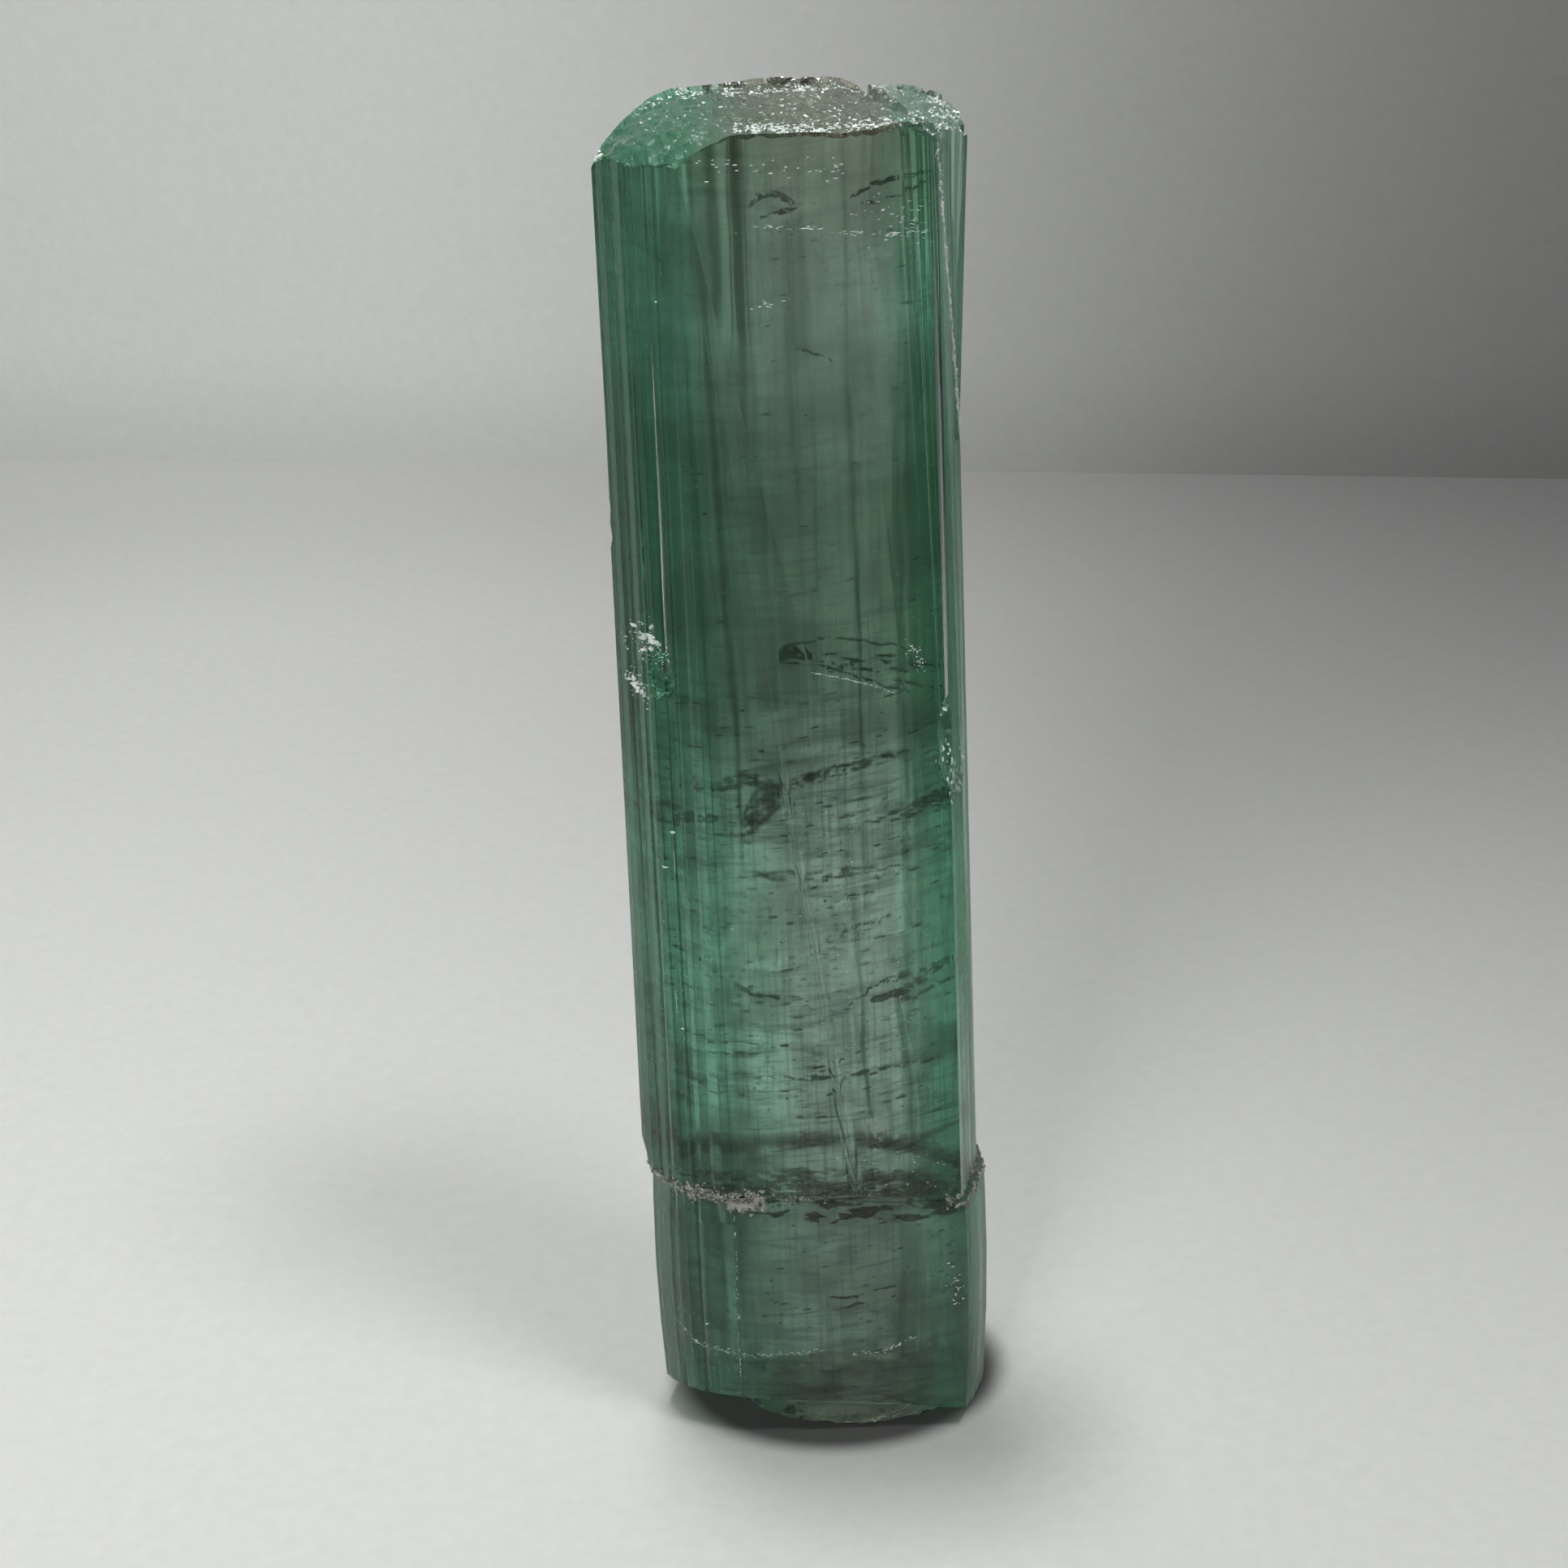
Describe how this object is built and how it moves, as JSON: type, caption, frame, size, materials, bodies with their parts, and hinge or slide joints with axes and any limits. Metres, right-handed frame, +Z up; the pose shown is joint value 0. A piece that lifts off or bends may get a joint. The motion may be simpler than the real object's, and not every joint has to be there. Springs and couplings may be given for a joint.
{
  "type": "tourmaline crystal",
  "caption": "Tall striated blue-green tourmaline prism with a side crystal grown into its top, a healed crack low down and a rounded broken base that it stands on.",
  "frame": {"origin": "on the resting surface, under the middle of the crystal's box", "axes": "+Z up along the crystal, -Y out of the broad front face, +X to the right of that face, where the side crystal is"},
  "size_m": [0.0114, 0.008, 0.044],
  "materials": {
    "tourmaline": "polished growth faces with fine lengthwise striations, rough glinting breaks",
    "inclusion": "veils, healed cracks and glints inside the crystal",
    "seam_filling": "dull granular beige mineral crust in the healed crack"
  },
  "bodies": {
    "root": {"tourmaline_crystal": "tourmaline"}
  },
  "joints": []
}
